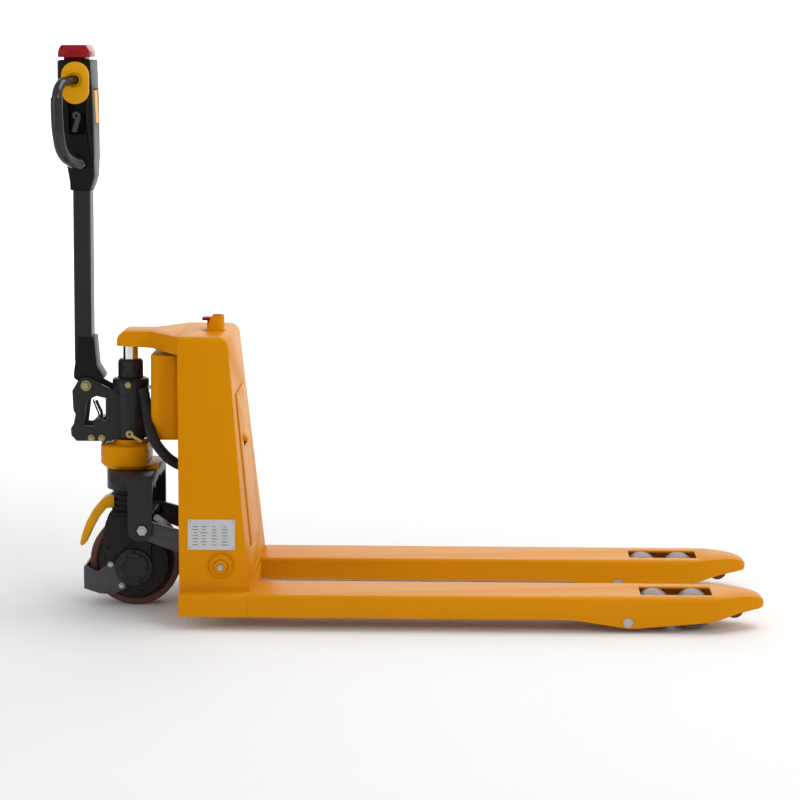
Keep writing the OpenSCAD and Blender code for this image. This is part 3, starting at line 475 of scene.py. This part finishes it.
def smooth_path(points):
    """A curve that runs smoothly through the points."""
    curve = bpy.data.curves.new("path", "CURVE")
    curve.dimensions = "3D"
    curve.resolution_u = 16
    spline = curve.splines.new("BEZIER")
    spline.bezier_points.add(len(points) - 1)
    for knot, place in zip(spline.bezier_points, points):
        knot.co = place
        knot.handle_left_type = knot.handle_right_type = "AUTO"
    return curve


def straight_path(points):
    """A curve of straight stretches."""
    curve = bpy.data.curves.new("path", "CURVE")
    curve.dimensions = "3D"
    spline = curve.splines.new("POLY")
    spline.points.add(len(points) - 1)
    for knot, place in zip(spline.points, points):
        knot.co = (*place, 1)
    return curve


drawn = sweep_tree()
print("tree", drawn.name)

# %% [markdown]
# ## The hand loops
# Each loop starts inside the yellow thumb wheel, swings out and back, and returns into the foot of
# the head. Its upper end is bare dark tube, and the long part that the hand holds is a glossy
# black sleeve that is a little thicker, so we draw the same path twice: once whole and thin, and
# once for the sleeve's stretch only.

# %% Draw the loops
tiller = Vector((-0.7465, 0, 0.515))
head_foot = low_high("head_housing")[0].z


def loop_points(side):
    """The loop's route, from the thumb wheel round to the foot of the head."""
    route = [(-14, 70, 253), (-28, 98, 250), (-38, 126, 242), (-43, 146, 215), (-43, 146, 180),
             (-40, 144, 130), (-34, 128, 92), (-20, 92, 70), (-6, 66, 62), (-2, 50, 60)]
    return [(tiller.x + x / 1000, side * y / 1000, head_foot + z / 1000) for x, y, z in route]


finish("loop_metal", (0.07, 0.07, 0.075), 0.13, metal=1.0, gloss=0.05, depth=0.04, dust=0.02)
finish("grip_gloss", (0.014, 0.014, 0.015), 0.22, coat=0.3, gloss=0.05, scale=500, depth=0.06, dust=0.03)
for side, label in ((1, "left"), (-1, "right")):
    points = loop_points(side)
    tube = grow("loop_tube_" + label, smooth_path(points), drawn, "tiller", "black_rubber",
                {"Radius": 0.0115, "Step": 0.004, "Sides": 28}, ["grip_" + label])
    tube.data.materials.clear()
    tube.data.materials.append(finishes["loop_metal"])
    sleeve = grow("loop_sleeve_" + label, smooth_path(points[3:9]), drawn, "tiller", "black_rubber",
                  {"Radius": 0.0138, "Step": 0.004, "Sides": 28})
    sleeve.data.materials.clear()
    sleeve.data.materials.append(finishes["grip_gloss"])
print("loops drawn")

# %% [markdown]
# ## The loom, the cables and the spring
# The black braided sleeve carries the power cables from the pump to the chassis. The chassis
# rises while the pump doesn't, so the loom is taken off its body and left as a loose piece where
# it is drawn. The two thin cables in the bracket's window and the tiller's return spring are
# drawn with the same tree.

# %% Draw them
steer_x = -0.6485
loom_route = [(34, -44, 510), (42, -53, 480), (50, -75, 450), (64, -113, 410), (86, -116, 376),
              (112, -106, 350), (128, -100, 342), (141, -100, 342)]
loom_points = [(steer_x + x / 1000, y / 1000, z / 1000) for x, y, z in loom_route]
braid = {"Radius": 0.0118, "Ripple": 0.0005, "Pitch": 0.0035, "Step": 0.0009, "Sides": 24}
loom = grow("loom_sleeve", smooth_path(loom_points), drawn, "mount", "black_rubber", braid, ["cable_loom"])
loom.parent = None
del loom["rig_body"]
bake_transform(loom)
thin_cable = [(14, -26, 481), (20, -26, 465), (27, -26, 447), (28, -26, 439)]
thick_cable = [(20, -18, 478), (26, -18, 464), (32, -18, 450), (32, -18, 438.5)]
for k, (route, radius) in enumerate([(thin_cable, 0.002), (thick_cable, 0.0035)]):
    points = [(tiller.x + x / 1000, y / 1000, z / 1000) for x, y, z in route]
    grow(f"bracket_cable_{k}", smooth_path(points), drawn, "steering", "black_rubber",
         {"Radius": radius, "Step": 0.002, "Sides": 12}, ["tiller_cables"])
coil_turns, coil_steps, coil_radius, coil_length = 5, 28, 0.0104, 0.024
coil = []
for k in range(coil_turns * coil_steps + 1):
    around = 2 * math.pi * k / coil_steps
    coil.append((tiller.x + coil_radius * math.cos(around),
                 coil_length * (k / (coil_turns * coil_steps)) - coil_length / 2,
                 tiller.z + coil_radius * math.sin(around)))
grow("return_coil", straight_path(coil), drawn, "steering", "bearing_steel",
     {"Radius": 0.0018, "Step": 0.002, "Sides": 10}, ["return_spring"])
print("loom, cables and spring drawn")

# %% [markdown]
# ## Weld beads
# Where the upright stands on the forks and round the shaft's bosses, a hand-laid weld leaves a row
# of small overlapping scallops. It is the same sweep again, with a ripple as tall as a third of
# the bead, half buried in the seam and painted with the rest of the frame.

# %% Lay the beads
fork_top = low_high("fork_left")[1].z
foot_low, foot_high = low_high("upright")
torsion_x, torsion_z = -0.4185, 0.135


def bead(name, points, radius=0.0028):
    """A painted bead of weld along straight seams."""
    grow(name, straight_path(points), drawn, "chassis", "yellow_paint",
         {"Radius": radius, "Ripple": radius * 0.22, "Pitch": 0.0045, "Step": 0.0011, "Sides": 10})


front_x, half_foot = foot_high.x - 0.0008, 0.235
for side, label in ((1, "left"), (-1, "right")):
    foot_corner = (front_x, side * half_foot, fork_top)
    bead("foot_weld_side_" + label, [(foot_low.x + 0.03, side * half_foot, fork_top), foot_corner])
    bead("foot_weld_front_" + label, [foot_corner, (front_x, side * 0.12, fork_top)])
    boss = Vector((torsion_x, side * 0.2285, torsion_z))
    ring = [boss + Vector((0.0245 * math.cos(a), 0, 0.0245 * math.sin(a)))
            for a in [2 * math.pi * k / 36 for k in range(37)]]
    bead("boss_weld_" + label, ring, 0.0032)
print("beads laid")

# %% [markdown]
# ## Bolts and rivets
# A bolt head needs a place and a direction. We store both on a cloud of points: the place is the
# point itself, the direction is a named attribute called axis. The tree builds one head on a
# washer, turns a copy to each direction, and realises them all. The number of sides makes it a hex
# bolt or a round screw.

# %% The bolt tree
def bolt_tree():
    """A head on a washer at each point, turned to the point's axis."""
    tree, source, result = start_tree("Bolt heads", [
        ("Head radius", "float", 0.006), ("Head height", "float", 0.004), ("Washer radius", "float", 0.008),
        ("Washer height", "float", 0.001), ("Sides", "int", 6), ("Crown", "float", 0.86),
        ("Finish", "material", None)])
    crown = reckon(tree, "MULTIPLY", source.outputs["Head radius"], source.outputs["Crown"])
    low = reckon(tree, "MULTIPLY", source.outputs["Head height"], 0.7)
    top = reckon(tree, "MULTIPLY", source.outputs["Head height"], 0.3)
    body = add(tree, "GeometryNodeMeshCylinder", Vertices=source.outputs["Sides"],
               Radius=source.outputs["Head radius"], Depth=low.outputs[0])
    cap = add(tree, "GeometryNodeMeshCone", Vertices=source.outputs["Sides"], Radius_Top=crown.outputs[0],
              Radius_Bottom=source.outputs["Head radius"], Depth=top.outputs[0])
    washer = add(tree, "GeometryNodeMeshCylinder", Vertices=24, Radius=source.outputs["Washer radius"],
                 Depth=source.outputs["Washer height"])
    half_washer = reckon(tree, "MULTIPLY", source.outputs["Washer height"], 0.5)
    half_low = reckon(tree, "MULTIPLY_ADD", low.outputs[0], 0.5, source.outputs["Washer height"])
    cap_low = reckon(tree, "ADD", low.outputs[0], source.outputs["Washer height"])
    parts = []
    for piece, lift in ((washer, half_washer), (body, half_low), (cap, cap_low)):
        height = add(tree, "ShaderNodeCombineXYZ", Z=lift.outputs[0])
        parts.append(add(tree, "GeometryNodeTransform", Geometry=piece.outputs[0],
                         Translation=height.outputs[0]))
    whole = tree.nodes.new("GeometryNodeJoinGeometry")
    for part in parts:
        tree.links.new(part.outputs[0], whole.inputs[0])
    axis = add(tree, "GeometryNodeInputNamedAttribute", {"data_type": "FLOAT_VECTOR"}, Name="axis")
    turn_to = add(tree, "FunctionNodeAlignRotationToVector", {"axis": "Z"}, Vector=axis.outputs["Attribute"])
    copies = add(tree, "GeometryNodeInstanceOnPoints", Points=source.outputs["Geometry"],
                 Instance=whole.outputs[0], Rotation=turn_to.outputs[0])
    close_tree(tree, result, copies.outputs[0], source)
    return tree


def marked_points(places):
    """A cloud of points with a direction on each."""
    mesh = bpy.data.meshes.new("marks")
    mesh.from_pydata([p for p, _ in places], [], [])
    axes = mesh.attributes.new("axis", "FLOAT_VECTOR", "POINT")
    for k, (_, axis) in enumerate(places):
        axes.data[k].vector = axis
    return mesh


bolt_heads = bolt_tree()


def bolts(name, body, slot, places, head, height=None, washer=None, sides=6, nodes=(), crown=0.86):
    """Bolt heads of one size at the given places."""
    grow(name, marked_points(places), bolt_heads, body, slot,
         {"Head radius": head, "Head height": height or head * 0.7, "Washer radius": washer or head * 1.3,
          "Washer height": head * 0.2, "Sides": sides, "Crown": crown}, nodes, sharp=30)


print("tree", bolt_heads.name)

# %% [markdown]
# ## Where the bolts go
# The CAD has a plain peg at each main bolt, so a made bolt takes its peg's place, and the smaller
# screws go where a maker would put them: round the gear case, the hub cover and the motor, with
# one at the top of the pump. The case's side screw takes its place from the box of the whole
# electronics_case node, which is wider than the case, so it stands clear of the case's side.

# %% Place them
near, far = (0, -1, 0), (0, 1, 0)
wheel = middle("drive_tyre")


def rim_places(centre, y, radius, degrees):
    """Places round an axle along Y."""
    return [(centre.x + radius * math.cos(math.radians(a)), y, centre.z + radius * math.sin(math.radians(a)))
            for a in degrees]


def both_sides(x, y, z):
    """The same place on the left and the right, each facing out."""
    return [((x, s * y, z), (0, s, 0)) for s in (1, -1)]


bolts("drive_bolts", "steering", "zinc_plate",
      [((wheel.x + x / 1000, s * 0.062, wheel.z + z / 1000), (0, s, 0)) for s in (1, -1)
       for x, z in ((-54, -4), (-29, -54))], 0.005, nodes=["drive_screws"])
bolts("gear_screws", "steering", "cast_black",
      [((wheel.x + 0.0615, -0.058, wheel.z + 0.0355), near),
       ((wheel.x - 0.0615, -0.066, wheel.z + 0.0355), near),
       ((wheel.x, -0.066, wheel.z + 0.0295), near)], 0.004, sides=20)
bolts("case_screws", "steering", "cast_black",
      [(p, near) for p in rim_places(wheel, -0.058, 0.071, (-8, -42, -76, -110))], 0.0042)
bolts("motor_screws", "steering", "zinc_plate",
      [(p, far) for p in rim_places(wheel, 0.058, 0.054, range(30, 390, 60))], 0.0038, sides=20)
cover = Vector((wheel.x, -0.070, wheel.z - 0.01))
bolts("cover_screws", "steering", "cast_black",
      [(p, near) for p in rim_places(cover, cover.y, 0.0285, range(0, 360, 60))], 0.0026, sides=16)
bolts("tiller_bolts", "steering", "gold_zinc", both_sides(tiller.x, 0.0405, tiller.z), 0.0095, washer=0.012)
bolts("bracket_screws", "steering", "gold_zinc",
      [((tiller.x + x / 1000, s * 0.04, 0.393), (0, s, 0)) for s in (1, -1) for x in (11, 35)], 0.006,
      nodes=["bracket_bolts"])
case_low, case_high = low_high("electronics_case")
case_round, screw_turn, screw_drop = 0.02, math.radians(58), 0.062
outward = Vector((-math.cos(screw_turn), -math.sin(screw_turn), 0))
screw_place = Vector((case_low.x + case_round, case_low.y + case_round, case_high.z - screw_drop))
bolts("case_side_screw", "mount", "zinc_plate", [(screw_place + outward * case_round, outward)], 0.0035,
      sides=20)
bolts("bleed_screw", "steering", "gold_zinc", [((steer_x, -0.046, 0.518), near)], 0.0055, sides=20)
link_x, link_z = -0.6065, 0.197
bolts("link_bolts", "mount", "zinc_plate", both_sides(link_x, 0.1368, link_z), 0.0085, washer=0.0105)
bolts("shaft_end_bolts", "rocker", "zinc_plate", both_sides(torsion_x, 0.2372, torsion_z), 0.0085,
      washer=0.0105)
bolts("shaft_end_caps", "rocker", "yellow_paint", both_sides(torsion_x, 0.2335, torsion_z), 0.0145,
      height=0.0045, washer=0.0158, sides=32, nodes=["shaft_bolts"])
print("bolts placed")

# %% [markdown]
# ## Wheels
# A load roller is a rubber tread cast on a steel core with a bearing in the middle, and the drive
# wheel is the same thing, larger. A round part follows one rule: a section turned about an axis.
# The tree makes a rounded rectangle, sweeps it round a circle, and stands the ring on its axle, so
# one tree gives treads, cores and bearing rings in every size.

# %% The ring tree
def ring_tree():
    """A ring with a rounded rectangular section, its axle along Y."""
    tree, source, result = start_tree("Turned ring", [
        ("Outer radius", "float", 0.04), ("Thickness", "float", 0.01), ("Width", "float", 0.07),
        ("Corner", "float", 0.003), ("Centre", "vector", (0, 0, 0)), ("Finish", "material", None)])
    half = reckon(tree, "MULTIPLY", source.outputs["Thickness"], 0.5)
    middle_radius = reckon(tree, "SUBTRACT", source.outputs["Outer radius"], half.outputs[0])
    circle = add(tree, "GeometryNodeCurvePrimitiveCircle", Resolution=72, Radius=middle_radius.outputs[0])
    upright_circle = add(tree, "GeometryNodeSetCurveNormal", {"mode": "Z_UP"}, Curve=circle.outputs[0])
    section = add(tree, "GeometryNodeCurvePrimitiveQuadrilateral", Width=source.outputs["Thickness"],
                  Height=source.outputs["Width"])
    rounded = add(tree, "GeometryNodeFilletCurve", {"mode": "POLY"}, Curve=section.outputs[0], Count=4,
                  Radius=source.outputs["Corner"])
    ring = add(tree, "GeometryNodeCurveToMesh", Curve=upright_circle.outputs[0],
               Profile_Curve=rounded.outputs[0])
    stood = add(tree, "GeometryNodeTransform", Geometry=ring.outputs[0], Rotation=(math.pi / 2, 0, 0),
                Translation=source.outputs["Centre"])
    close_tree(tree, result, stood.outputs[0], source)
    return tree


turned = ring_tree()


def ring_part(name, body, slot, centre, outer, thick, width, corner=0.002, nodes=()):
    """One ring on an axle."""
    return grow(name, bpy.data.meshes.new("empty"), turned, body, slot,
                {"Outer radius": outer, "Thickness": thick, "Width": width, "Corner": corner,
                 "Centre": tuple(centre)}, nodes, sharp=30)


for corner in ("front_left", "rear_left", "front_right", "rear_right"):
    node = "roller_" + corner
    body, centre = body_of[node], middle(node)
    tread = ring_part("tread_" + corner, body, "red_tread", centre, 0.0398, 0.0098, 0.0696, 0.003, [node])
    tread.data.materials.clear()
    tread.data.materials.append(finishes["roller_tread"])
    ring_part("core_" + corner, body, "bearing_steel", centre, 0.0301, 0.008, 0.066, 0.001)
    ring_part("bearing_" + corner, body, "bearing_steel", centre, 0.0222, 0.0138, 0.069, 0.0008)
entry_place = middle("entry_rollers")
fork_middle = middle("fork_left").y
for k, side in enumerate((1, -1)):
    ring_part(f"entry_tread_{k}", "entry", "red_tread", (entry_place.x, side * fork_middle, entry_place.z),
              0.0219, 0.0177, 0.0398, 0.003, ["entry_rollers"])
wheel_radius = (low_high("drive_tyre")[1].z - low_high("drive_tyre")[0].z) / 2
ring_part("drive_tread", "drive_wheel", "red_tread", wheel, wheel_radius - 0.0002, 0.0176, 0.0696, 0.005,
          ["drive_tyre"])
print("wheels turned")

# %% [markdown]
# ## The rating plate
# A plate with rows of small dark strokes reads as a rating plate without saying anything. The
# strokes are cubes on a grid, each stretched by a random amount with a fixed seed, and they stand
# only a fraction of a millimetre proud of the silver sheet. Four small rivets hold it.

# %% Print the rows
def row_tree():
    """Strokes of uneven length at marked points."""
    tree, source, result = start_tree("Rows of strokes", [
        ("Length", "float", 0.012), ("Height", "float", 0.0012), ("Proud", "float", 0.0002),
        ("Seed", "int", 7), ("Finish", "material", None)])
    size = add(tree, "ShaderNodeCombineXYZ", X=source.outputs["Length"], Y=source.outputs["Proud"],
               Z=source.outputs["Height"])
    stroke = add(tree, "GeometryNodeMeshCube", Size=size.outputs[0])
    stretch = add(tree, "FunctionNodeRandomValue", {"data_type": "FLOAT"}, Seed=source.outputs["Seed"])
    stretch.inputs[2].default_value = 0.35
    stretch.inputs[3].default_value = 1.0
    scale = add(tree, "ShaderNodeCombineXYZ", X=stretch.outputs[1], Y=1.0, Z=1.0)
    copies = add(tree, "GeometryNodeInstanceOnPoints", Points=source.outputs["Geometry"],
                 Instance=stroke.outputs[0], Scale=scale.outputs[0])
    close_tree(tree, result, copies.outputs[0], source)
    return tree


plate_low, plate_high = low_high("rating_plate")
plate = (plate_low + plate_high) / 2
plate_thick = 0.0012
tilt = math.atan2(plate_high.y - plate_low.y - plate_thick, plate_high.z - plate_low.z)


def on_plate(x, z, proud):
    """A point on the sloping plate, from its centre."""
    return (plate.x + x, plate.y + z * math.sin(tilt) - plate_thick / 2 - proud, plate.z + z * math.cos(tilt))


strokes = [(on_plate(x, z, 0.0001), (0, 0, 1)) for z in [0.018 - 0.0068 * k for k in range(7)]
           for x in (-0.036, -0.017, 0.006, 0.03)]
grow("plate_rows", marked_points(strokes), row_tree(), "chassis", "black_paint",
     {"Length": 0.0155, "Height": 0.0013, "Proud": 0.0003, "Seed": 7})
slope = (0, -math.cos(tilt), math.sin(tilt))
studs = [(on_plate(x, z, 0.0), slope) for x in (-0.048, 0.048) for z in (-0.029, 0.029)]
bolts("plate_studs", "chassis", "zinc_plate", studs, 0.0021, height=0.0011, washer=0.0021, sides=16,
      nodes=["plate_rivets"], crown=0.6)
print("plate printed")
